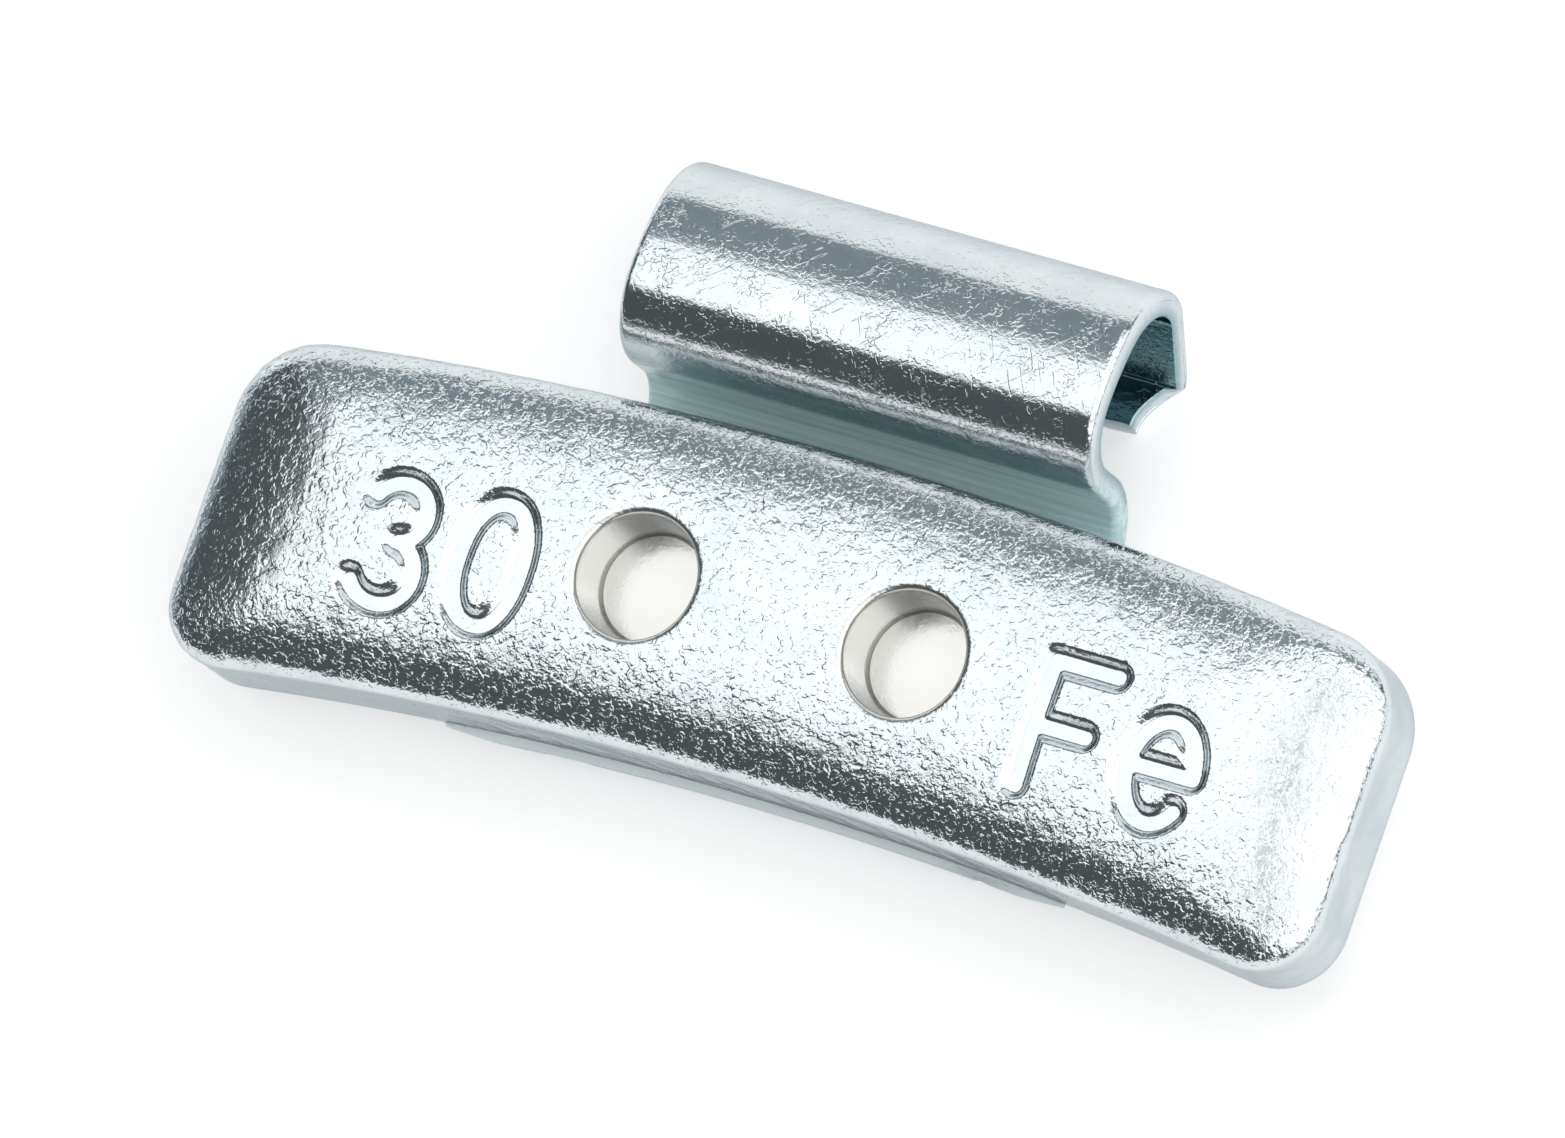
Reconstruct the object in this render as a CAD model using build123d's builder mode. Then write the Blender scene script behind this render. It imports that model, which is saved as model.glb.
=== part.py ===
# Clip-on wheel balance weight, lying on its back with the marked face up.
# X runs along the bar, Y points from the bar to the hook, Z points out of the face.
# It rests on the two rivet heads and on the crease of the hook, all at Z = 0.

import os
from math import asin, cos, degrees, radians, sin, sqrt

from build123d import *

os.makedirs("parts", exist_ok=True)

# Pressed steel bar
bar_length = 48.6
bar_height = 13.0
bar_t = 5.1              # back to the crest of the face
arch_r = 172.0           # middle line of the bar, bent to follow the wheel rim
corner_top_r = 3.4
corner_low_r = 2.6
crown_r = 32.0           # doming of the face across the bar
roll_r = 4.6             # rolled-off front edge
roll_trim = 2.1          # the rolled edge is trimmed back, leaving a line round the side wall
end_run = 7.0            # length at each end over which the face falls away
end_lift = 0.15          # start of that fall above the crest
end_r = 17.0             # its radius
back_edge = 0.3          # broken edge round the back

# Raised land on the back that seats the clip
land_rise = 0.8
land_length = 17.6
land_ramp = 4.3          # run of the ramp at each end
land_top = 4.9           # top of the land above the rivet line
land_flare = 0.5         # the land spreads this far past the underside of the bar
land_root = 0.6          # depth of the land's root inside the bar
land_edge_r = 0.4

# Punched recesses and the rivets they push out at the back
rivet_pitch = 11.3
rivet_y = -4.39          # rivet line, from the middle of the part
rivet_drop = 0.3         # rivet line below the middle of the bar
recess_floor_d = 4.4
recess_depth = 2.4
recess_draft = 6.0       # degrees
recess_lip = 0.2
rivet_d = 4.0
rivet_head_d = 5.6
rivet_head_h = 0.6
rivet_head_edge = 0.2

# Spring clip, one strip of steel
clip_t = 1.0
clip_width = 20.0
tail_below = 5.1         # end of the tail below the rivet line
tail_above = 6.12        # start of the double bend above the rivet line
tail_corner_r = 2.0
clip_depth = 7.8         # rest plane to the front of the hook
bend_r = 2.0             # bend out of the tail
belly_r = 3.0            # bend into the front of the hook
front_r = 9.0            # easy curve up the front
front_turn = 18.0        # degrees
over_r = 3.6             # over the top of the hook
shoulder_r = 2.0         # tighter bend at the back of the top
lip_lean = 53.0          # degrees from the lip to the rest plane
crease_r = 1.2           # bend at the root of the tongue, outside
tongue_tilt = 8.0        # degrees the tongue leans into the hook
tongue_length = 1.8
notch_width = 1.2        # the tongue is this much narrower at each end
notch_run = 2.0          # length of its slanting shoulders
notch_r = 1.5
rivet_clearance = 0.03   # round each rivet in its hole

# Levels above the rest plane
seat_z = rivet_head_h + clip_t
back_z = seat_z + land_rise
root_z = back_z + land_root
crest_z = back_z + bar_t

# Hook: its front is the highest line of the part, and its crease rests with the rivet heads
shelf = clip_depth - seat_z - bend_r - belly_r
lean = radians(lip_lean)
turn = radians(front_turn)
lip_z = clip_depth - front_r * (1 - cos(turn)) - over_r * cos(turn) - shoulder_r * cos(lean)
lip_run = (lip_z - crease_r * (1 - cos(lean))) / sin(lean)

# Arch of the bar
half = bar_length / 2
bar_y = rivet_y + rivet_drop
arch_y = bar_y - arch_r
arch_axis = Axis((0, arch_y, 0), (0, 0, 1))
top_r = arch_r + bar_height / 2
low_r = arch_r - bar_height / 2
top_y = arch_y + top_r
low_y = arch_y + low_r
end_top_y = arch_y + sqrt(top_r**2 - half**2)
end_low_y = arch_y + sqrt(low_r**2 - half**2)

# Fall of the face, run on a little past the end of the bar
end_turn = degrees(asin((end_run + back_edge) / end_r))

# Land on the back
land_half = land_length / 2
land_base = land_half + land_ramp
land_top_y = rivet_y + land_top
land_foot_y = land_top_y + land_rise

rivet_points = [(-rivet_pitch / 2, rivet_y), (rivet_pitch / 2, rivet_y)]

# Seat for the clip: follows the arch, with a ramp at each end
with BuildPart() as seat_land:
    with BuildSketch(Plane.YZ) as land_section:
        Polygon(
            (land_top_y, seat_z),
            (low_y - land_flare, seat_z),
            (low_y, back_z + back_edge),
            (low_y + land_root, root_z),
            (land_foot_y, root_z),
            (land_foot_y, back_z),
            align=None,
        )
    revolve(axis=arch_axis)
    with BuildSketch(Plane.XZ.offset(-bar_y)) as land_ends:
        Polygon(
            (-land_half, seat_z),
            (land_half, seat_z),
            (land_base, back_z),
            (land_base, root_z),
            (-land_base, root_z),
            (-land_base, back_z),
            align=None,
        )
    extrude(amount=bar_height, both=True, mode=Mode.INTERSECT)
    fillet(seat_land.faces().sort_by(Axis.Z)[0].edges(), land_edge_r)

# Plan of the bar: two arcs of the arch, square ends, rounded corners
with BuildSketch(Plane.XY.offset(back_z)) as bar_outline:
    with BuildLine() as bar_edge:
        ThreePointArc((-half, end_low_y), (0, low_y), (half, end_low_y))
        Line((half, end_low_y), (half, end_top_y))
        ThreePointArc((half, end_top_y), (0, top_y), (-half, end_top_y))
        Line((-half, end_top_y), (-half, end_low_y))
    make_face()
    fillet(bar_outline.vertices().group_by(Axis.Y)[0], corner_low_r)
    fillet(bar_outline.vertices().group_by(Axis.Y)[-1], corner_top_r)

# Pressed steel bar with the rivets it carries
with BuildPart() as weight_body:
    with BuildSketch(Plane.XY.offset(back_z)) as blank_outline:
        add(bar_outline.sketch)
        offset(amount=roll_trim)
    extrude(amount=bar_t + land_root)

    # Face domed across the bar, its crest following the arch
    with BuildSketch(Plane.YZ) as crown_section:
        with Locations((bar_y, crest_z - crown_r)):
            Circle(crown_r)
    revolve(axis=arch_axis, mode=Mode.INTERSECT)

    # Front edge rolled off, then the side wall trimmed
    fillet(weight_body.faces().sort_by(Axis.Z)[-1].edges(), roll_r)
    extrude(bar_outline.sketch, amount=bar_t + land_root, mode=Mode.INTERSECT)
    chamfer(weight_body.faces().sort_by(Axis.Z)[0].edges(), back_edge)
    add(seat_land.part)

    # Recesses punched from the front
    with BuildSketch(Plane.XY.offset(crest_z - recess_depth)) as recess_floors:
        with Locations(rivet_points):
            Circle(recess_floor_d / 2)
    extrude(amount=2 * recess_depth, taper=-recess_draft, mode=Mode.SUBTRACT)
    face = weight_body.faces().sort_by(Axis.Z)[-1]
    chamfer([edge for wire in face.inner_wires() for edge in wire.edges()], recess_lip)

    # Rivets through the clip, headed on its back
    with BuildSketch(Plane.XY.offset(seat_z)) as rivet_shanks:
        with Locations(rivet_points):
            Circle(rivet_d / 2)
    extrude(amount=-clip_t)
    with BuildSketch(Plane.XY.offset(rivet_head_h)) as rivet_heads:
        with Locations(rivet_points):
            Circle(rivet_head_d / 2)
    extrude(amount=-rivet_head_h)
    chamfer(weight_body.faces().sort_by(Axis.Z)[:2].edges(), rivet_head_edge)

    # Face falling away to both ends
    with BuildSketch(Plane.XZ.offset(-bar_y)) as end_fall:
        with BuildLine() as end_side:
            fall = JernArc((half - end_run, crest_z + end_lift), (1, 0), end_r, -end_turn)
            Polyline(fall @ 1, ((fall @ 1).X, (fall @ 0).Y), fall @ 0)
        make_face()
        mirror(about=Plane.YZ)
    extrude(amount=bar_height, both=True, mode=Mode.SUBTRACT)

weight_body.part.label = "weight_body"

# Spring clip: tail under the land, double bend, hook and tongue
with BuildPart() as spring_clip:
    with BuildSketch(Plane.YZ) as strip_side:
        with BuildLine() as strip_face:
            tail = Line((rivet_y - tail_below, seat_z), (rivet_y + tail_above, seat_z))
            rise = JernArc(tail @ 1, tail % 1, bend_r, 90)
            step = PolarLine(rise @ 1, shelf, direction=rise % 1)
            belly = JernArc(step @ 1, step % 1, belly_r, -90)
            front = JernArc(belly @ 1, belly % 1, front_r, -front_turn)
            over = JernArc(front @ 1, front % 1, over_r, front_turn - 90)
            shoulder = JernArc(over @ 1, over % 1, shoulder_r, lip_lean - 90)
            lip = PolarLine(shoulder @ 1, lip_run, direction=shoulder % 1)
            crease = JernArc(lip @ 1, lip % 1, crease_r, -lip_lean - tongue_tilt)
            tongue = PolarLine(crease @ 1, tongue_length, direction=crease % 1)
            offset(amount=clip_t, side=Side.RIGHT)
        make_face()
    extrude(amount=clip_width / 2, both=True)

    # Tail corners
    fillet(spring_clip.edges().filter_by(Axis.Z).group_by(Axis.Y)[0], tail_corner_r)

    # Slanting shoulders that narrow the tongue
    tongue_root_y = (crease @ 0.5).X
    tongue_tip_y = (tongue @ 1).X
    with BuildSketch(Plane.XY) as tongue_sides:
        Polygon(
            (clip_width / 2, tongue_root_y),
            (clip_width / 2 - notch_width, tongue_root_y - notch_run),
            (clip_width / 2 - notch_width, tongue_tip_y - clip_t),
            (clip_width / 2, tongue_tip_y - clip_t),
            align=None,
        )
        fillet(tongue_sides.vertices().group_by(Axis.X)[0].sort_by(Axis.Y)[-1], notch_r)
        mirror(about=Plane.YZ)
    extrude(amount=2 * clip_t, mode=Mode.SUBTRACT)

    # Holes for the rivets
    with Locations(rivet_points):
        Hole(rivet_d / 2 + rivet_clearance)

spring_clip.part.label = "spring_clip"

export_step(weight_body.part, "parts/weight_body.step")
export_step(spring_clip.part, "parts/spring_clip.step")
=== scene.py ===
import math

import bmesh
import bpy
import numpy as np
from mathutils import Matrix, Vector, geometry


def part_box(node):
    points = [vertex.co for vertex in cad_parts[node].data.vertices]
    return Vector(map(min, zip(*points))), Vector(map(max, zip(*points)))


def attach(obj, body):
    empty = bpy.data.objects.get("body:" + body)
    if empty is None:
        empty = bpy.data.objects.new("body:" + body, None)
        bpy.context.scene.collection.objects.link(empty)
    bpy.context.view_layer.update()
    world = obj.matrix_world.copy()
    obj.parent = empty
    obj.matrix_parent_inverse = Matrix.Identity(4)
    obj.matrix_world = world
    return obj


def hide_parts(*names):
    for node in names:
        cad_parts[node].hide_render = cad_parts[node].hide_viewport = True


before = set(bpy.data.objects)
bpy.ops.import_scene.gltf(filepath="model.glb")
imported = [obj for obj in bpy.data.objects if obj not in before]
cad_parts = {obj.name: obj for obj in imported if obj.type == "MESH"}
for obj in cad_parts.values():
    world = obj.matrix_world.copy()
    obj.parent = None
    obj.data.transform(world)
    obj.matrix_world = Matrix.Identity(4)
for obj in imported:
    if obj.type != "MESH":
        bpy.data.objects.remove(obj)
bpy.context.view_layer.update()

MM = 0.001

# Bar, in millimetres, as in its solid
BAR_LOW, BAR_HIGH = (np.array(corner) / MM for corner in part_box("weight_body"))
HALF = BAR_HIGH[0]
CREST_Z = BAR_HIGH[2]
BAR_HEIGHT = 13.0
BAR_T = 5.1
BACK_EDGE = 0.3
ARCH_R = 172.0
CROWN_R = 32.0
ROLL_R = 4.6
ROLL_TRIM = 2.1
CORNER_TOP_R = 3.4
CORNER_LOW_R = 2.6
RIVET_PITCH = 11.3
RIVET_DROP = 0.3
RIVET_D = 4.0
RIVET_CLEARANCE = 0.03
BAR_Y = BAR_HIGH[1] - BAR_HEIGHT / 2
ARCH_Y = BAR_Y - ARCH_R
RIVET_Y = BAR_Y - RIVET_DROP
TOP_R = ARCH_R + BAR_HEIGHT / 2
LOW_R = ARCH_R - BAR_HEIGHT / 2
BACK_Z = CREST_Z - BAR_T

# Fall of the face beyond its crown and roll: a little more to the sides, eased to the ends, blended
# at the corners, with a steeper flank along the edge that is wider at the ends
SIDE_RUN = 4.0
SIDE_R = 60.0
END_RUN = 8.5
END_DROP = 1.4
END_EASE = 2.6
CORNER_BLEND = 1.6
FLANK_SIDE = 0.6
FLANK_END = 1.0
FLANK_R = 3.0

# Unevenness of the face, of its edge and of the side wall
SHORT_WAVE = 0.006
LONG_WAVE = 0.012
WAVE_SINK = 0.03
EDGE_WAVE = 0.04
WALL_WAVE = 0.012
WALL_SINK = 1.6

# Recesses punched in the face; rings of the crevice by their inset and height from the edge of the floor
RECESS_DEPTH = 2.4
RECESS_FLOOR_R = 2.2
RECESS_MOUTH_R = 2.74
RECESS_LIP = 0.2
RECESS_DRAFT = math.radians(6)
RECESS_CREVICE = ((0.02, -0.1), (0.06, -0.05), (0.1, 0.02))
RECESS_DOME = 0.07
DOME_INSET = 0.26
DOME_FOOT = 0.035
LIP_ROWS = 4
RECESS_WALL_ROWS = 12
DOME_ROWS = 13

# Marks pressed into the face: half width of the line, run of its wall, depth, and where each mark stands
MARK_HALF_WIDTH = 0.68
MARK_WALL = 0.42
MARK_DEPTH = 0.3
MARK_MARGIN = 0.1
MARKS_FROM = 9.0
THREE_X, THREE_Y = -15.65, -5.78
ZERO_X, ZERO_Y = -11.5, -5.5
F_X, F_TOP, F_FOOT = 11.5, -3.05, -7.9
F_TOP_ARM, F_MIDDLE_ARM, F_ARM_GAP = 2.6, 2.1, 2.5
E_X, E_Y = 16.85, -6.0
E_BAR_START, E_BAR_RISE = 1.2, 0.05

# Grid of the face, its rounded rim, and the side wall down to the copied back
FACE_STEP = 0.16
MARK_STEP = 0.075
RING_STEP = 0.13
RIM = 0.3
RIM_TURN = (0.15, 0.3, 0.45, 0.6, 0.8, 1.0)
SIDE_WALL_ROWS = 14
WALL_FOOT = 0.15
WALL_SEAM = 0.1
SHARP_ANGLE = math.radians(38)
WELD = 0.001
PLAN_TOLERANCE = 1e-7

# Strip of the clip, along its front line from the end of the tail
CLIP_HIGH = np.array(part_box("spring_clip")[1]) / MM
CLIP_T = 1.0
CLIP_HALF = CLIP_HIGH[0]
TAIL_BELOW = 5.1
TAIL_ABOVE = 6.12
TAIL_CORNER_R = 2.0
HEAD_H = 0.6
BEND_R = 2.0
BELLY_R = 3.0
FRONT_R = 9.0
FRONT_TURN = math.radians(18)
OVER_R = 3.6
SHOULDER_R = 2.0
LIP_LEAN = math.radians(53)
CREASE_R = 1.2
TONGUE_TILT = math.radians(8)
TONGUE_LENGTH = 1.8
TONGUE_TORN = 0.09
NOTCH_WIDTH = 1.2
NOTCH_RUN = 2.0
NOTCH_EASE = 1.6
SEAT_Z = HEAD_H + CLIP_T
SHELF = CLIP_HIGH[2] - SEAT_Z - BEND_R - BELLY_R
LIP_Z = (CLIP_HIGH[2] - FRONT_R * (1 - math.cos(FRONT_TURN)) - OVER_R * math.cos(FRONT_TURN)
         - SHOULDER_R * math.cos(LIP_LEAN))
LIP_RUN = (LIP_Z - CREASE_R * (1 - math.cos(LIP_LEAN))) / math.sin(LIP_LEAN)
STRIP_STEP = 0.16
STRIP_ACROSS = 60
SHEAR_ROLL = 0.32
SHEAR_ROLL_ROWS = 6
SHEAR_ROWS = 5
SHEAR_LEDGE = 0.03
BURR_EDGE = 0.06
DRILL_PAST = 0.5
DRILL_SIDES = 64

# Zones of the plate, and how strongly each is flecked
ZONE_EDGE = 0.2
LIP_EDGE = 0.1
BACK_SKIN = 0.5
FRONT_FROM = 1.0
WALL_SKIN = 0.05
FLECK_FROM = 3.2
FLECK_RUN = 1.4
FLECK_FACE = 0.5
FLECK_WALL = 0.25
FLECK_PRESSED = 0.7
STEM_Y = 4.6
STEM_Z = 5.4
STEM_EDGE = 0.6


# Plan of the bar
def corner_centre(radius, arc_radius):
    """Centre of a corner round that touches the end of the bar and one of its long arcs."""
    x = HALF - radius
    return x, ARCH_Y + math.sqrt(arc_radius**2 - x**2)


TOP_CORNER = corner_centre(CORNER_TOP_R, TOP_R - CORNER_TOP_R)
LOW_CORNER = corner_centre(CORNER_LOW_R, LOW_R + CORNER_LOW_R)


def arc(centre, radius, start, end, step):
    """Points and directions along an arc, without its last point."""
    count = max(2, math.ceil(abs(end - start) * radius / step))
    angle = start + (end - start) * np.arange(count) / count
    direction = np.stack([np.cos(angle), np.sin(angle)], axis=1)
    return np.array(centre) + radius * direction, direction


def straight(start, end, outward, step):
    """Points and directions along a straight side, without its last point."""
    start = np.array(start)
    end = np.array(end)
    count = math.ceil(np.linalg.norm(end - start) / step)
    share = np.arange(count)[:, None] / count
    return start + (end - start) * share, np.tile(np.array(outward, float), (count, 1))


def outline(step):
    """Outline of the bar, anticlockwise from the foot of its right end, with its outward directions."""
    arch = (0, ARCH_Y)
    top = math.atan2(TOP_CORNER[1] - ARCH_Y, TOP_CORNER[0])
    low = math.atan2(LOW_CORNER[1] - ARCH_Y, LOW_CORNER[0])
    left_top = (-TOP_CORNER[0], TOP_CORNER[1])
    left_low = (-LOW_CORNER[0], LOW_CORNER[1])
    under, under_out = arc(arch, LOW_R, math.pi - low, low, step)
    sides = [
        straight((HALF, LOW_CORNER[1]), (HALF, TOP_CORNER[1]), (1, 0), step),
        arc(TOP_CORNER, CORNER_TOP_R, 0, top, step),
        arc(arch, TOP_R, top, math.pi - top, step),
        arc(left_top, CORNER_TOP_R, math.pi - top, math.pi, step),
        straight((-HALF, TOP_CORNER[1]), (-HALF, LOW_CORNER[1]), (-1, 0), step),
        arc(left_low, CORNER_LOW_R, math.pi, 2 * math.pi - low, step),
        (under, -under_out),
        arc(LOW_CORNER, CORNER_LOW_R, low - math.pi, 0, step),
    ]
    return np.concatenate([s[0] for s in sides]), np.concatenate([s[1] for s in sides])


def edge_distance(p):
    """Distance of plan points from the outline, positive inside."""
    x, y = np.abs(p[:, 0]), p[:, 1]
    across = np.hypot(x, y - ARCH_Y) - ARCH_R
    distance = np.minimum(BAR_HEIGHT / 2 - np.abs(across), HALF - x)
    for centre, radius, turn in ((TOP_CORNER, CORNER_TOP_R, 1), (LOW_CORNER, CORNER_LOW_R, -1)):
        off_x, off_y = x - centre[0], y - centre[1]
        beside = off_x * (centre[1] - ARCH_Y) - off_y * centre[0] > 0
        inside = beside & (turn * off_y > 0)
        distance = np.where(inside, radius - np.hypot(off_x, off_y), distance)
    return distance


# Face of the bar
def across_bar(p):
    """Distance of plan points from the middle line of the bar, positive towards the hook."""
    return np.hypot(p[:, 0], p[:, 1] - ARCH_Y) - ARCH_R


def side_fall(p):
    """How far the face falls across the bar: its crown, its rolled edge and a little more."""
    v = np.abs(across_bar(p))
    axis_z = CREST_Z - CROWN_R
    path_r = CROWN_R - ROLL_R
    roll_v = BAR_HEIGHT / 2 + ROLL_TRIM - ROLL_R
    roll_z = axis_z + math.sqrt(path_r**2 - roll_v**2)
    crown = axis_z + np.sqrt(CROWN_R**2 - v**2)
    rolled = roll_z + np.sqrt(np.clip(ROLL_R**2 - (v - roll_v) ** 2, 0, None))
    height = np.where(v < roll_v * CROWN_R / path_r, crown, rolled)
    side = np.clip(v - BAR_HEIGHT / 2 + SIDE_RUN, 0, None)
    return np.clip(CREST_Z - height + side**2 / (2 * SIDE_R), 0, None)


def plain_face(p):
    """Height of the face before any marks: domed across, rolled off at its sides, falling to its ends."""
    end = np.clip(np.abs(p[:, 0]) - HALF + END_RUN, 0, None)
    end_fall = END_DROP * (end / END_RUN) ** END_EASE
    fall = (side_fall(p) ** CORNER_BLEND + end_fall**CORNER_BLEND) ** (1 / CORNER_BLEND)
    run = FLANK_SIDE + (FLANK_END - FLANK_SIDE) * np.clip(end / (END_RUN / 2), 0, 1)
    flank = np.clip(run - edge_distance(p), 0, run)
    return CREST_Z - fall - flank**2 / (2 * FLANK_R)


def waves(p, seed, count, shortest, longest):
    """Soft random relief of unit size: plane waves of mixed lengths and directions."""
    rng = np.random.default_rng(seed)
    total = np.zeros(len(p))
    for _ in range(count):
        length = shortest * (longest / shortest) ** rng.random()
        angle = rng.random() * 2 * math.pi
        phase = rng.random() * 2 * math.pi
        k = 2 * math.pi / length
        total += np.sin(k * (p[:, 0] * math.cos(angle) + p[:, 1] * math.sin(angle)) + phase)
    return total / math.sqrt(count)


# Marks
def ellipse(x, y, wide, tall, start, end, count=28, square=2.0):
    """Points along an ellipse, or a squarer ring, between two angles in degrees."""
    angle = np.radians(np.linspace(start, end, count))
    c, s = np.cos(angle), np.sin(angle)
    power = 2 / square
    px = x + wide * np.sign(c) * np.abs(c) ** power
    py = y + tall * np.sign(s) * np.abs(s) ** power
    return np.stack([px, py], axis=1)


def mark_lines():
    """Middle lines of the four marks: the weight in grams, and the symbol of iron."""
    three = np.concatenate([
        ellipse(THREE_X - 0.05, THREE_Y + 1.22, wide=1.18, tall=1.13, start=155, end=-75),
        ellipse(THREE_X, THREE_Y - 1.08, wide=1.33, tall=1.25, start=78, end=-150),
    ])
    zero = ellipse(ZERO_X, ZERO_Y, wide=1.3, tall=2.36, start=0, end=360, count=60, square=2.2)
    upright = np.array([(F_X, F_TOP), (F_X, F_FOOT)])
    top_arm = np.array([(F_X, F_TOP), (F_X + F_TOP_ARM, F_TOP)])
    middle_y = F_TOP - F_ARM_GAP
    middle_arm = np.array([(F_X, middle_y), (F_X + F_MIDDLE_ARM, middle_y)])
    letter = np.concatenate([
        np.array([(E_X - E_BAR_START, E_Y + E_BAR_RISE)]),
        ellipse(E_X, E_Y, wide=1.32, tall=1.95, start=2, end=318, count=48),
    ])
    return [three, zero, upright, top_arm, middle_arm, letter]


def line_distance(p, line):
    """Distance of plan points from a line of straight steps."""
    best = np.full(len(p), np.inf)
    for a, b in zip(line[:-1], line[1:]):
        step = b - a
        share = np.clip(((p - a) @ step) / (step @ step), 0, 1)
        best = np.minimum(best, np.hypot(*(p - a - share[:, None] * step).T))
    return best


def mark_depth(p):
    """How deep the marks are pressed at plan points."""
    near = np.full(len(p), np.inf)
    for line in mark_lines():
        low = line.min(0) - 2 * MARK_HALF_WIDTH
        high = line.max(0) + 2 * MARK_HALF_WIDTH
        box = np.all((p > low) & (p < high), axis=1)
        near[box] = np.minimum(near[box], line_distance(p[box], line))
    share = np.clip((MARK_HALF_WIDTH - near) / MARK_WALL, 0, 1)
    return MARK_DEPTH * share * share * (3 - 2 * share)


def marked_zone(p):
    """Whether plan points lie in or close to a mark."""
    near = np.full(len(p), np.inf)
    for line in mark_lines():
        near = np.minimum(near, line_distance(p, line))
    return near < MARK_HALF_WIDTH + MARK_MARGIN


def formed_face(p):
    """Height of the face as it was pressed, not quite even."""
    short = SHORT_WAVE * waves(p, seed=11, count=40, shortest=1.1, longest=4.5)
    long = LONG_WAVE * waves(p, seed=12, count=14, shortest=5, longest=14)
    return plain_face(p) + short + long - WAVE_SINK


def face_height(p):
    """Height of the finished face."""
    return formed_face(p) - mark_depth(p)


def triangle_grid(low, high, step):
    """Plan points in rows, every other row shifted by half a step."""
    rows = np.arange(low[1], high[1], step * math.sqrt(3) / 2)
    cols = np.arange(low[0], high[0], step)
    x, y = np.meshgrid(cols, rows)
    x = x + (np.arange(len(rows)) % 2)[:, None] * step / 2
    return np.stack([x.ravel(), y.ravel()], axis=1)


def face_plan(rim, mouths):
    """Plan points of the face: the rim, the recess mouths, and a grid that is finer in the marks."""
    low, high = BAR_LOW[:2], BAR_HIGH[:2]
    coarse = triangle_grid(low, high, FACE_STEP)
    coarse = coarse[~marked_zone(coarse)]
    fine = triangle_grid(low, high, MARK_STEP)
    fine = fine[np.abs(fine[:, 0]) > MARKS_FROM]
    fine = fine[marked_zone(fine)]
    grid = np.concatenate([coarse, fine])
    grid = grid[edge_distance(grid) > RIM + 0.5 * FACE_STEP]
    for mouth in mouths:
        grid = grid[np.hypot(*(grid - mouth.mean(0)).T) > RECESS_MOUTH_R + 0.5 * FACE_STEP]
    return np.concatenate([rim, *mouths, grid])


def loop_edges(first, count):
    """Edges of a closed loop of points with running numbers."""
    return [(first + k, first + (k + 1) % count) for k in range(count)]


def inside_face(points, triangles, mouths):
    """Keeps the triangles that lie on the face, inside its rim and outside the recess mouths."""
    middle = points[triangles].mean(1)
    keep = edge_distance(middle) > RIM
    for mouth in mouths:
        keep &= np.hypot(*(middle - mouth.mean(0)).T) > RECESS_MOUTH_R
    return triangles[keep]


class Shell:
    """Points in millimetres and faces, gathered piece by piece."""

    def __init__(self):
        self.points = []
        self.faces = []

    def add(self, points):
        """Adds points and gives their numbers."""
        first = len(self.points)
        self.points.extend(map(tuple, points))
        return list(range(first, len(self.points)))

    def ring(self, lower, upper):
        """Joins two closed loops that have the same number of points."""
        for k in range(len(lower)):
            n = (k + 1) % len(lower)
            self.faces.append((lower[k], lower[n], upper[n], upper[k]))

    def turned(self, loop, centre):
        """A loop in the order of its angles about a centre, with those angles."""
        angle = [math.atan2(self.points[i][1] - centre[1], self.points[i][0] - centre[0]) for i in loop]
        order = np.argsort(angle)
        return [loop[k] for k in order], [angle[k] for k in order]

    def zip(self, upper, lower, centre):
        """Joins two closed loops with different numbers of points, by their angle about a centre."""
        upper, upper_angle = self.turned(upper, centre)
        lower, lower_angle = self.turned(lower, centre)
        upper_angle.append(upper_angle[0] + 2 * math.pi)
        lower_angle.append(lower_angle[0] + 2 * math.pi)
        i = j = 0
        while i < len(upper) or j < len(lower):
            a, b = upper[i % len(upper)], lower[j % len(lower)]
            if j >= len(lower) or (i < len(upper) and upper_angle[i + 1] <= lower_angle[j + 1]):
                i += 1
                self.faces.append((a, upper[i % len(upper)], b))
            else:
                j += 1
                self.faces.append((a, lower[j % len(lower)], b))

    def piece(self, name):
        """Makes the object, in metres, smooth but for its sharp edges."""
        mesh = bpy.data.meshes.new(name)
        mesh.from_pydata((np.array(self.points) * MM).tolist(), [], self.faces)
        bm = bmesh.new()
        bm.from_mesh(mesh)
        bmesh.ops.recalc_face_normals(bm, faces=bm.faces)
        bm.to_mesh(mesh)
        bm.free()
        mesh.shade_smooth()
        mesh.set_sharp_from_angle(angle=SHARP_ANGLE)
        obj = bpy.data.objects.new(name, mesh)
        bpy.context.collection.objects.link(obj)
        return obj


def lower_body(shell, node, cut_z):
    """Copies the solid's back, below a level, and gives the open loop where it was cut."""
    bm = bmesh.new()
    bm.from_mesh(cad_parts[node].data)
    bmesh.ops.remove_doubles(bm, verts=bm.verts, dist=WELD * MM)
    bmesh.ops.bisect_plane(
        bm,
        geom=bm.verts[:] + bm.edges[:] + bm.faces[:],
        plane_co=(0, 0, cut_z * MM),
        plane_no=(0, 0, 1),
        clear_outer=True,
    )
    bm.verts.index_update()
    numbers = shell.add([v.co / MM for v in bm.verts])
    shell.faces.extend(tuple(numbers[v.index] for v in f.verts) for f in bm.faces)
    loop = [numbers[v.index] for v in bm.verts if any(e.is_boundary for e in v.link_edges)]
    bm.free()
    return loop


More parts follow.
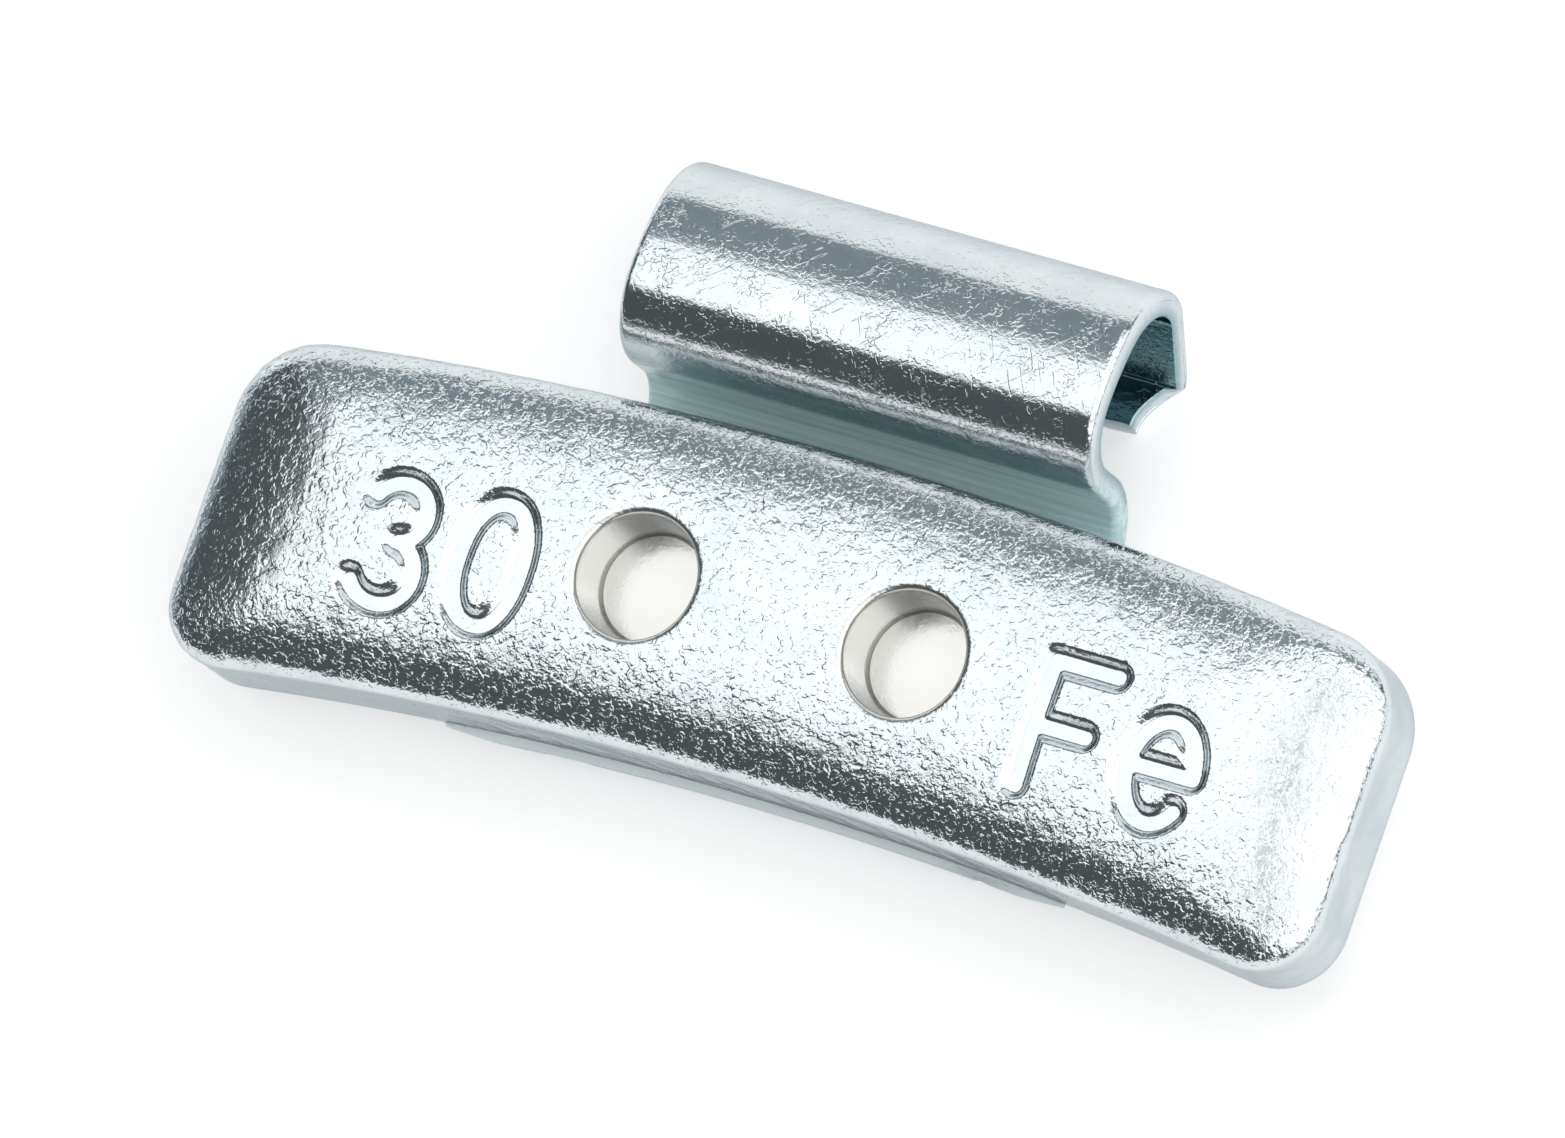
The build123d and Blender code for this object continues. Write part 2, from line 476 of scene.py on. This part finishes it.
def recess(shell, mouth_ring, centre):
    """Lip, drafted wall, crevice and low dome of one punched recess."""
    count = len(mouth_ring)
    floor_z = CREST_Z - RECESS_DEPTH
    mouth = np.array([shell.points[i] for i in mouth_ring])
    outward = (mouth[:, :2] - centre) / RECESS_MOUTH_R
    wall_top_r = RECESS_FLOOR_R + (RECESS_DEPTH - RECESS_LIP) * math.tan(RECESS_DRAFT)
    wall_top_z = mouth[:, 2] - RECESS_LIP
    rows = []
    for share in np.linspace(0, 1, LIP_ROWS + 1)[1:]:
        ease = math.sin(share * math.pi / 2)
        drop = 1 - math.cos(share * math.pi / 2)
        r = RECESS_MOUTH_R + (wall_top_r - RECESS_MOUTH_R) * ease
        rows.append((r, mouth[:, 2] + (wall_top_z - mouth[:, 2]) * drop))
    for share in np.linspace(0, 1, RECESS_WALL_ROWS + 1)[1:]:
        r = wall_top_r + (RECESS_FLOOR_R - wall_top_r) * share
        rows.append((r, wall_top_z + (floor_z - wall_top_z) * share))
    for inset, height in RECESS_CREVICE:
        rows.append((RECESS_FLOOR_R - inset, np.full(count, floor_z + height)))
    for share in np.linspace(1, 0, DOME_ROWS + 1)[:-1]:
        r = (RECESS_FLOOR_R - DOME_INSET) * share
        rows.append((r, np.full(count, floor_z + DOME_FOOT + RECESS_DOME * (1 - share**2))))
    ring = mouth_ring
    for r, z in rows:
        below = shell.add(np.column_stack([centre + r * outward, z]))
        shell.ring(ring, below)
        ring = below
    middle = shell.add([(centre[0], centre[1], floor_z + DOME_FOOT + RECESS_DOME)])[0]
    for a, b in loop_edges(0, count):
        shell.faces.append((ring[a], ring[b], middle))


def marked_face(shell, rim, centres):
    """Face of the bar with its recesses; gives the numbers of its rim."""
    mouths = [arc(c, RECESS_MOUTH_R, 0, 2 * math.pi, RING_STEP)[0] for c in centres]
    plan = face_plan(rim, mouths)
    loops = [rim, *mouths]
    starts = np.cumsum([0] + [len(loop) for loop in loops])
    edges = [e for first, loop in zip(starts, loops) for e in loop_edges(int(first), len(loop))]
    spots = [Vector(p) for p in plan]
    made = geometry.delaunay_2d_cdt(spots, edges, [], 0, PLAN_TOLERANCE, False)
    if len(made[0]) != len(plan):
        raise ValueError("the face grid has double points")
    triangles = inside_face(plan, np.array(made[2]), mouths)
    face = shell.add(np.column_stack([plan, face_height(plan)]))
    shell.faces.extend(tuple(face[i] for i in t) for t in triangles.tolist())
    for k, centre in enumerate(centres):
        recess(shell, face[starts[k + 1]:starts[k + 2]], centre)
    return face[:len(rim)]


def side_wall(shell, ring, edge, outward, foot_z):
    """Rounded rim and side wall, from the rim of the face down to a level; gives the last loop."""
    rim_z = np.array([shell.points[i][2] for i in ring])
    ragged = waves(edge, seed=22, count=30, shortest=0.5, longest=3)
    edge_z = formed_face(edge) - EDGE_WAVE * (1 + ragged)
    rows = []
    for t in RIM_TURN:
        inset = RIM * (1 - t) ** 2
        rows.append((inset, (1 - t) ** 2 * rim_z + 2 * t * (1 - t) * edge_z + t * t * (edge_z - RIM)))
    along = np.cumsum(np.full(len(edge), RING_STEP))
    for share in np.linspace(0, 1, SIDE_WALL_ROWS + 1)[1:]:
        z = edge_z - RIM + (foot_z - edge_z + RIM) * share
        relief = waves(np.column_stack([along, z]), seed=21, count=20, shortest=0.8, longest=4)
        fade = math.sin(math.pi * share)
        rows.append((WALL_WAVE * fade * (WALL_SINK + relief).clip(0, None), z))
    for inset, z in rows:
        below = shell.add(np.column_stack([edge - np.reshape(inset, (-1, 1)) * outward, z]))
        shell.ring(ring, below)
        ring = below
    return ring


def make_bar():
    """The pressed bar: marked face, recesses and side wall, on a copy of the solid's back."""
    shell = Shell()
    edge, outward = outline(RING_STEP)
    centres = [np.array([side * RIVET_PITCH / 2, RIVET_Y]) for side in (-1, 1)]
    foot_z = BACK_Z + BACK_EDGE + WALL_FOOT
    rim = marked_face(shell, edge - RIM * outward, centres)
    foot = side_wall(shell, rim, edge, outward, foot_z)
    loop = lower_body(shell, "weight_body", foot_z - WALL_SEAM)
    shell.zip(foot, loop, (0, BAR_Y))
    return shell.piece("pressed_bar")


# Clip
def strip_path():
    """Places, headings and lengths along the front line of the strip, in the YZ plane."""
    runs = [
        (TAIL_BELOW + TAIL_ABOVE, 0),
        (BEND_R * math.pi / 2, math.pi / 2),
        (SHELF, 0),
        (BELLY_R * math.pi / 2, -math.pi / 2),
        (FRONT_R * FRONT_TURN, -FRONT_TURN),
        (OVER_R * (math.pi / 2 - FRONT_TURN), FRONT_TURN - math.pi / 2),
        (SHOULDER_R * (math.pi / 2 - LIP_LEAN), LIP_LEAN - math.pi / 2),
        (LIP_RUN, 0),
        (CREASE_R * (LIP_LEAN + TONGUE_TILT), -LIP_LEAN - TONGUE_TILT),
        (TONGUE_LENGTH, 0),
    ]
    place = np.array([RIVET_Y - TAIL_BELOW, SEAT_Z])
    heading = 0.0
    stations = [(place, heading)]
    for length, turn in runs:
        count = math.ceil(length / STRIP_STEP)
        for _ in range(count):
            middle = heading + turn / count / 2
            bend = abs(turn) / count / 2
            chord = length / count * (math.sin(bend) / bend if bend else 1)
            place = place + chord * np.array([math.cos(middle), math.sin(middle)])
            heading += turn / count
            stations.append((place, heading))
    steps = [np.linalg.norm(b[0] - a[0]) for a, b in zip(stations[:-1], stations[1:])]
    return stations, np.cumsum([0] + steps)


def half_width(place, heading, length):
    """Half width of the strip: round corners on the tail, slanting shoulders on the tongue."""
    if length < TAIL_CORNER_R:
        return CLIP_HALF - TAIL_CORNER_R + math.sqrt(TAIL_CORNER_R**2 - (TAIL_CORNER_R - length) ** 2)
    lip_y = CLIP_HIGH[1] - SHOULDER_R * (1 - math.sin(LIP_LEAN))
    root_y = lip_y - LIP_RUN * math.cos(LIP_LEAN) - CREASE_R / 2
    if heading < -math.pi / 2 and place[1] < CLIP_T and place[0] < root_y:
        share = min((root_y - place[0]) / NOTCH_RUN, 1)
        return CLIP_HALF - NOTCH_WIDTH * (1 - (1 - share) ** NOTCH_EASE)
    return CLIP_HALF


def strip_section(half):
    """Closed section of the strip: across the width, and depth below its front face."""
    flat = np.linspace(-1, 1, STRIP_ACROSS)
    front = [(x * (half - SHEAR_ROLL), 0.0) for x in flat]
    roll = [(half - SHEAR_ROLL * (1 - math.sin(a)), SHEAR_ROLL * (1 - math.cos(a)))
            for a in np.linspace(0, math.pi / 2, SHEAR_ROLL_ROWS + 1)[1:]]
    depths = np.linspace(SHEAR_ROLL + SHEAR_LEDGE, CLIP_T - BURR_EDGE, SHEAR_ROWS)
    edge = roll + [(half - SHEAR_LEDGE, depth) for depth in depths]
    behind = [(x * (half - SHEAR_LEDGE - BURR_EDGE), CLIP_T) for x in flat[::-1]]
    return np.array(front + edge + behind + [(-x, depth) for x, depth in edge[::-1]])


def make_clip():
    """The spring clip: one strip, bent along its path, with sheared edges and a torn tongue."""
    shell = Shell()
    stations, lengths = strip_path()
    torn = np.random.default_rng(seed=31).random(STRIP_ACROSS)
    ring = None
    for k, ((place, heading), length) in enumerate(zip(stations, lengths)):
        section = strip_section(half_width(place, heading, length))
        ahead = np.zeros(len(section))
        if k == len(stations) - 1:
            across = np.linspace(-CLIP_HALF, CLIP_HALF, STRIP_ACROSS)
            ahead = -TONGUE_TORN * np.interp(section[:, 0], across, torn)
        y = place[0] + section[:, 1] * math.sin(heading) + ahead * math.cos(heading)
        z = place[1] - section[:, 1] * math.cos(heading) + ahead * math.sin(heading)
        above = shell.add(np.column_stack([section[:, 0], y, z]))
        if ring is None:
            shell.faces.append(tuple(above))
        else:
            shell.ring(ring, above)
        ring = above
    shell.faces.append(tuple(ring))
    return shell.piece("bent_strip")


def drill(piece, centres, radius, low, high):
    """Cuts round holes down through a piece."""
    bm = bmesh.new()
    for x, y in centres:
        bmesh.ops.create_cone(
            bm,
            cap_ends=True,
            segments=DRILL_SIDES,
            radius1=radius * MM,
            radius2=radius * MM,
            depth=(high - low) * MM,
            matrix=Matrix.Translation((x * MM, y * MM, (low + high) / 2 * MM)),
        )
    mesh = bpy.data.meshes.new("drill")
    bm.to_mesh(mesh)
    bm.free()
    tool = bpy.data.objects.new("drill", mesh)
    bpy.context.collection.objects.link(tool)
    cut = piece.modifiers.new("drill", "BOOLEAN")
    cut.operation = "DIFFERENCE"
    cut.solver = "EXACT"
    cut.object = tool
    bpy.context.view_layer.update()
    finished = piece.evaluated_get(bpy.context.evaluated_depsgraph_get())
    made = bpy.data.meshes.new_from_object(finished)
    piece.modifiers.remove(cut)
    piece.data = made
    bpy.data.objects.remove(tool)
    bpy.data.meshes.remove(mesh)


# Materials; a mix node has sockets of the same name for other data, so its colour sockets go by number
MIX_FIRST, MIX_SECOND, MIX_RESULT = 6, 7, 2


class Nodes:
    """Short forms for building a material's nodes."""

    def __init__(self, name):
        self.material = bpy.data.materials.new(name)
        self.material.use_nodes = True
        self.tree = self.material.node_tree
        self.shader = self.tree.nodes["Principled BSDF"]
        self.place = self.make("ShaderNodeTexCoord").outputs["Object"]

    def make(self, kind, **values):
        """A new node with its settings."""
        node = self.tree.nodes.new(kind)
        for key, value in values.items():
            setattr(node, key, value)
        return node

    def link(self, source, target):
        """Joins an output to an input."""
        self.tree.links.new(source, target)

    def noise(self, scale, detail=3.0, rough=0.55, stretch=(1, 1, 1), turn=0.0):
        """Noise with features per millimetre along each axis, turned about Z."""
        mapping = self.make("ShaderNodeMapping", vector_type="TEXTURE")
        mapping.inputs["Rotation"].default_value = (0, 0, turn)
        mapping.inputs["Scale"].default_value = [MM / (scale * s) for s in stretch]
        self.link(self.place, mapping.inputs["Vector"])
        node = self.make("ShaderNodeTexNoise")
        node.inputs["Scale"].default_value = 1.0
        node.inputs["Detail"].default_value = detail
        node.inputs["Roughness"].default_value = rough
        self.link(mapping.outputs["Vector"], node.inputs["Vector"])
        return node.outputs["Fac"]

    def remap(self, source, low, high, to_low, to_high):
        """A value taken from one range to another, held at its ends."""
        node = self.make("ShaderNodeMapRange")
        ends = {"From Min": low, "From Max": high, "To Min": to_low, "To Max": to_high}
        for key, value in ends.items():
            node.inputs[key].default_value = value
        self.link(source, node.inputs["Value"])
        return node.outputs["Result"]

    def flakes(self, scale):
        """Level patches with short steep edges, so many to the millimetre."""
        node = self.make("ShaderNodeMapRange", interpolation_type="SMOOTHSTEP")
        node.inputs["From Min"].default_value = 0.5 - FLAKE_EDGE
        node.inputs["From Max"].default_value = 0.5 + FLAKE_EDGE
        self.link(self.noise(scale, detail=2, rough=0.6), node.inputs["Value"])
        return node.outputs["Result"]

    def times(self, first, second):
        """Product of two values."""
        node = self.make("ShaderNodeMath", operation="MULTIPLY")
        self.link(first, node.inputs[0])
        self.link(second, node.inputs[1])
        return node.outputs[0]

    def mix(self, factor, first, second):
        """Mix of two colours, each written out or from a node."""
        node = self.make("ShaderNodeMix", data_type="RGBA")
        self.link(factor, node.inputs["Factor"])
        for source, socket in ((first, node.inputs[MIX_FIRST]), (second, node.inputs[MIX_SECOND])):
            if isinstance(source, tuple):
                socket.default_value = (*source, 1.0)
            else:
                self.link(source, socket)
        return node.outputs[MIX_RESULT]

    def bump(self, height, size, strength=None, below=None):
        """Bump whose full height is a size in millimetres."""
        node = self.make("ShaderNodeBump")
        node.inputs["Strength"].default_value = 1.0
        if strength is not None:
            self.link(strength, node.inputs["Strength"])
        node.inputs["Distance"].default_value = size * MM
        self.link(height, node.inputs["Height"])
        if below is not None:
            self.link(below, node.inputs["Normal"])
        return node.outputs["Normal"]

    def attribute(self, name):
        """A number that the piece keeps for each of its points."""
        return self.make("ShaderNodeAttribute", attribute_name=name).outputs["Fac"]


ZINC = (0.72, 0.76, 0.775)
ZINC_DULL = (0.65, 0.70, 0.72)
WARM = (0.70, 0.695, 0.665)
WARM_BRIGHT = (0.93, 0.93, 0.905)
TEAL = (0.80, 0.96, 0.95)
TEAL_DARK = (0.55, 0.77, 0.78)
# Painted shade, tinted teal, for the inside of the hook
HOOK_PAINTED_SHADE = (0.28, 0.42, 0.45)
# Painted shade: a darker colour for the back of the bar and its land
BACK_PAINTED_SHADE = (0.56, 0.60, 0.61)
GRAZING = (0.61, 0.64, 0.66, 1)
FLAKE_EDGE = 0.06
BAR_ROUGH = 0.16
PIT_ROUGH = 0.25
PIT_WALL_METAL = 0.7
CLIP_ROUGH = 0.15
STEM_METAL = 0.15
SCRATCH_TURNS = (-1.1, 0.7)


def zinc(name):
    """Bright zinc plate over steel, with mottled colour, ready for its relief."""
    n = Nodes(name)
    n.shader.inputs["Metallic"].default_value = 1.0
    n.shader.inputs["Specular Tint"].default_value = GRAZING
    mottle = n.remap(n.noise(0.5, detail=4), 0.35, 0.65, 0, 1)
    return n, n.mix(mottle, ZINC, ZINC_DULL)


def bar_plate():
    """Plate on the bar: flecked most where it is rolled off, warmer in the recesses, darker at the back
    as painted shade.
    """
    n, colour = zinc("bar_zinc")
    in_recess = n.attribute("recessed")
    on_pit_wall = n.attribute("pit_wall")
    flecked = n.attribute("fleck")
    colour = n.mix(in_recess, colour, WARM)
    colour = n.mix(on_pit_wall, colour, WARM_BRIGHT)
    # Painted shade: the back and the land are coloured darker, standing in for the shadowed floor they
    # reflect.
    n.link(n.mix(n.attribute("back"), colour, BACK_PAINTED_SHADE), n.shader.inputs["Base Color"])
    n.link(n.remap(on_pit_wall, 0, 1, 1, PIT_WALL_METAL), n.shader.inputs["Metallic"])
    n.link(n.remap(in_recess, 0, 1, BAR_ROUGH, PIT_ROUGH), n.shader.inputs["Roughness"])
    broken = n.times(n.remap(n.noise(4.0, detail=1), 0.42, 0.58, 0.3, 1), flecked)
    relief = n.bump(n.flakes(2.0), size=0.022, strength=broken)
    relief = n.bump(n.flakes(3.4), size=0.016, strength=broken, below=relief)
    relief = n.bump(n.noise(6.0, detail=2), size=0.008, strength=flecked, below=relief)
    n.link(relief, n.shader.inputs["Normal"])
    return n.material


def clip_plate():
    """Plate on the strip: smoother, scratched, with a green tarnish where it is sheltered, and painted
    shade in dark teal inside the hook.
    """
    n, colour = zinc("clip_zinc")
    n.shader.inputs["Roughness"].default_value = CLIP_ROUGH
    on_stem = n.attribute("stem")
    drawn = n.remap(n.noise(2.5, detail=3, rough=0.6, stretch=(0.02, 1, 1)), 0.4, 0.6, 0, 1)
    colour = n.mix(on_stem, colour, n.mix(drawn, TEAL_DARK, TEAL))
    # Painted shade: the inside of the hook is coloured dark teal, the tarnish's hue darkened.
    n.link(n.mix(n.attribute("inner"), colour, HOOK_PAINTED_SHADE), n.shader.inputs["Base Color"])
    n.link(n.remap(on_stem, 0, 1, 1, STEM_METAL), n.shader.inputs["Metallic"])
    scattered = n.remap(n.noise(0.9, detail=3, rough=0.6), 0.46, 0.62, 0.25, 1)
    relief = n.bump(n.flakes(3.6), size=0.011, strength=scattered)
    relief = n.bump(n.noise(6.0, detail=3, rough=0.6), size=0.005, below=relief)
    rolled = n.noise(3.0, detail=2, rough=0.5, stretch=(0.08, 1, 1))
    relief = n.bump(rolled, size=0.006, below=relief)
    for turn in SCRATCH_TURNS:
        streaks = n.noise(4.0, detail=1, rough=0.5, stretch=(0.12, 1.4, 1.4), turn=turn)
        relief = n.bump(n.remap(streaks, 0.68, 0.74, 1, 0), size=0.008, below=relief)
    n.link(relief, n.shader.inputs["Normal"])
    return n.material


# Zones of the plate, as one number for each point of a piece
def points_of(piece):
    """Points of a piece in millimetres."""
    co = np.empty(3 * len(piece.data.vertices), dtype=np.float32)
    piece.data.vertices.foreach_get("co", co)
    return co.reshape(-1, 3).astype(float) / MM


def set_zone(piece, zone):
    """Keeps a zone's numbers on a piece, for its material."""
    layer = piece.data.attributes.new(zone.__name__, "FLOAT", "POINT")
    layer.data.foreach_set("value", zone(points_of(piece)).astype(np.float32))


def recessed(p):
    """1 in the recesses, 0 elsewhere."""
    zone = np.zeros(len(p))
    for side in (-1, 1):
        r = np.hypot(p[:, 0] - side * RIVET_PITCH / 2, p[:, 1] - RIVET_Y)
        zone = np.maximum(zone, np.clip((RECESS_MOUTH_R - r) / ZONE_EDGE, 0, 1))
    return zone * (p[:, 2] > BACK_Z + FRONT_FROM)


def pit_wall(p):
    """1 on the walls of the recesses, 0 elsewhere."""
    above_floor = p[:, 2] - CREST_Z + RECESS_DEPTH - RECESS_DOME
    below_lip = formed_face(p[:, :2]) - RECESS_LIP - p[:, 2]
    return recessed(p) * np.clip(above_floor / ZONE_EDGE, 0, 1) * np.clip(below_lip / LIP_EDGE, 0, 1)


def back(p):
    """1 on the back of the bar and its land, where shade is painted, 0 elsewhere."""
    return np.clip((BACK_Z + BACK_SKIN - p[:, 2]) / ZONE_EDGE, 0, 1)


def fleck(p):
    """How strongly the plate is flecked: most on the rolled edges, least on walls and pressed places."""
    plan = p[:, :2]
    rolled = np.clip((np.abs(across_bar(plan)) - FLECK_FROM) / FLECK_RUN, 0, 1)
    marked = mark_depth(plan) / MARK_DEPTH * (p[:, 2] > BACK_Z + FRONT_FROM)
    strength = FLECK_FACE + (1 - FLECK_FACE) * rolled
    strength *= 1 - FLECK_PRESSED * np.maximum(marked, recessed(p))
    plain = (edge_distance(plan) < WALL_SKIN) | (p[:, 2] < BACK_Z + BACK_SKIN)
    return np.where(plain, FLECK_WALL, strength)


def stem(p):
    """1 in the double bend between bar and hook, 0 elsewhere."""
    return np.clip((STEM_Y - p[:, 1]) / STEM_EDGE, 0, 1) * np.clip((STEM_Z - p[:, 2]) / STEM_EDGE, 0, 1)


def inner(p):
    """1 on the inside of the hook, where shade is painted in dark teal, 0 elsewhere."""
    stations, lengths = strip_path()
    line = np.array([s[0] for s in stations])
    gap = np.hypot(p[:, None, 1] - line[None, :, 0], p[:, None, 2] - line[None, :, 1])
    past_bend = lengths[gap.argmin(1)] > TAIL_BELOW + TAIL_ABOVE + BEND_R
    return past_bend * np.clip(2 * gap.min(1) / CLIP_T - 1, 0, 1)


# Stage
FLOOR_SIZE = 6.0
FLOOR_GLOW = 0.44
FLOOR_COLOUR = (0.8, 0.8, 0.8, 1)
COOL = (0.74, 0.9, 1)
WORLD_COLOUR = (0.85, 0.95, 1, 1)
WORLD_LEVEL = 0.1


def paper():
    """White to the camera and in reflections, with a soft shadow."""
    material = bpy.data.materials.new("paper")
    material.use_nodes = True
    tree = material.node_tree
    tree.nodes.remove(tree.nodes["Principled BSDF"])
    path = tree.nodes.new("ShaderNodeLightPath")
    seen = path.outputs["Is Camera Ray"]
    for ray in ("Is Glossy Ray", "Is Transmission Ray"):
        either = tree.nodes.new("ShaderNodeMath")
        either.operation = "ADD"
        either.use_clamp = True
        tree.links.new(seen, either.inputs[0])
        tree.links.new(path.outputs[ray], either.inputs[1])
        seen = either.outputs[0]
    level = tree.nodes.new("ShaderNodeMath")
    level.operation = "MULTIPLY"
    level.inputs[1].default_value = FLOOR_GLOW
    tree.links.new(seen, level.inputs[0])
    glow = tree.nodes.new("ShaderNodeEmission")
    tree.links.new(level.outputs[0], glow.inputs["Strength"])
    matte = tree.nodes.new("ShaderNodeBsdfDiffuse")
    matte.inputs["Color"].default_value = FLOOR_COLOUR
    both = tree.nodes.new("ShaderNodeAddShader")
    tree.links.new(glow.outputs[0], both.inputs[0])
    tree.links.new(matte.outputs[0], both.inputs[1])
    tree.links.new(both.outputs[0], tree.nodes["Material Output"].inputs["Surface"])
    return material


def make_floor():
    """The square of paper that the part lies on."""
    mesh = bpy.data.meshes.new("floor")
    reach = FLOOR_SIZE / 2
    corners = [(-reach, -reach, 0), (reach, -reach, 0), (reach, reach, 0), (-reach, reach, 0)]
    mesh.from_pydata(corners, [], [(0, 1, 2, 3)])
    floor = bpy.data.objects.new("floor", mesh)
    bpy.context.collection.objects.link(floor)
    floor.data.materials.append(paper())


def soft_box(name, middle, aim, wide, tall, level, colour=(1, 1, 1)):
    """A soft box by its middle, the point it faces, its size and how bright it looks."""
    data = bpy.data.lights.new(name, "AREA")
    data.shape = "RECTANGLE"
    data.size = wide
    data.size_y = tall
    data.energy = level * math.pi * wide * tall
    data.color = colour
    lamp = bpy.data.objects.new(name, data)
    lamp.location = middle
    lamp.rotation_euler = (Vector(aim) - Vector(middle)).to_track_quat("-Z", "Y").to_euler()
    bpy.context.collection.objects.link(lamp)


def light_studio():
    """Soft boxes round the part, in a dim room."""
    soft_box("overhead", (-0.21, 0.08, 0.6), aim=(-0.21, 0.08, 0), wide=0.56, tall=0.45, level=1.32)
    soft_box("right", (0.44, 0.02, 0.44), aim=(0, 0, 0), wide=1.0, tall=0.9, level=1.4)
    soft_box("corner", (0.1, 0.43, 0.6), aim=(0.1, 0.43, 0), wide=0.4, tall=0.25, level=1.3)
    soft_box("back", (-0.8, 0.7, 0.195), aim=(-0.8, 0, 0.195), wide=2.6, tall=0.39, level=0.98)
    soft_box("fill", (-0.2, 0.62, 0.62), aim=(0, 0, 0), wide=1.2, tall=0.5, level=0.22, colour=COOL)
    soft_box("front", (-0.8, -0.7, 0.1), aim=(-0.8, 0, 0.1), wide=2.6, tall=0.2, level=1.0)
    soft_box("left", (-0.9, 0, 0.12), aim=(0, 0, 0.12), wide=1.2, tall=0.24, level=0.3, colour=COOL)
    world = bpy.data.worlds.new("studio")
    world.use_nodes = True
    room = world.node_tree.nodes["Background"]
    room.inputs["Color"].default_value = WORLD_COLOUR
    room.inputs["Strength"].default_value = WORLD_LEVEL
    bpy.context.scene.world = world


# Camera at the photograph's angle: where the target falls in the picture, and the scale there
PHOTO_WIDTH, PHOTO_HEIGHT = 1565, 1138
TARGET = Vector((0, 0, 4.1)) * MM
TARGET_PIXEL = (836.3, 525.9)
PIXELS_PER_MM = 26.641
DISTANCE = 0.7
AZIMUTH = math.radians(23.0)
ELEVATION = math.radians(-7.9)
ROLL = math.radians(19.316)
SENSOR = 36.0
NEAREST = 0.05


def make_camera():
    """The camera, turned about its own axis so that the bar slants as in the photograph."""
    toward = Vector((
        math.sin(AZIMUTH) * math.cos(ELEVATION),
        math.sin(ELEVATION),
        math.cos(AZIMUTH) * math.cos(ELEVATION),
    ))
    level_right = Vector((0, 1, 0)).cross(toward).normalized()
    level_up = toward.cross(level_right)
    right = level_right * math.cos(ROLL) + level_up * math.sin(ROLL)
    up = level_up * math.cos(ROLL) - level_right * math.sin(ROLL)
    data = bpy.data.cameras.new("camera")
    data.sensor_width = SENSOR
    data.lens = PIXELS_PER_MM * DISTANCE / MM * SENSOR / PHOTO_WIDTH
    data.shift_x = (PHOTO_WIDTH / 2 - TARGET_PIXEL[0]) / PHOTO_WIDTH
    data.shift_y = (TARGET_PIXEL[1] - PHOTO_HEIGHT / 2) / PHOTO_WIDTH
    data.clip_start = NEAREST
    camera = bpy.data.objects.new("camera", data)
    place = TARGET + toward * DISTANCE
    camera.matrix_world = Matrix((
        (right.x, up.x, toward.x, place.x),
        (right.y, up.y, toward.y, place.y),
        (right.z, up.z, toward.z, place.z),
        (0, 0, 0, 1),
    ))
    bpy.context.collection.objects.link(camera)
    bpy.context.scene.camera = camera


# Scene
bar = make_bar()
clip = make_clip()
rivets = [(side * RIVET_PITCH / 2, RIVET_Y) for side in (-1, 1)]
drill(clip, rivets, RIVET_D / 2 + RIVET_CLEARANCE, 0, SEAT_Z + DRILL_PAST)
for zone in (recessed, pit_wall, back, fleck):
    set_zone(bar, zone)
for zone in (stem, inner):
    set_zone(clip, zone)
bar.data.materials.append(bar_plate())
clip.data.materials.append(clip_plate())
for piece, node, slot in ((bar, "weight_body", "bar_plate"), (clip, "spring_clip", "clip_plate")):
    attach(piece, "root")
    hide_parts(node)

make_floor()
light_studio()
make_camera()
bpy.context.scene.view_settings.view_transform = "Standard"
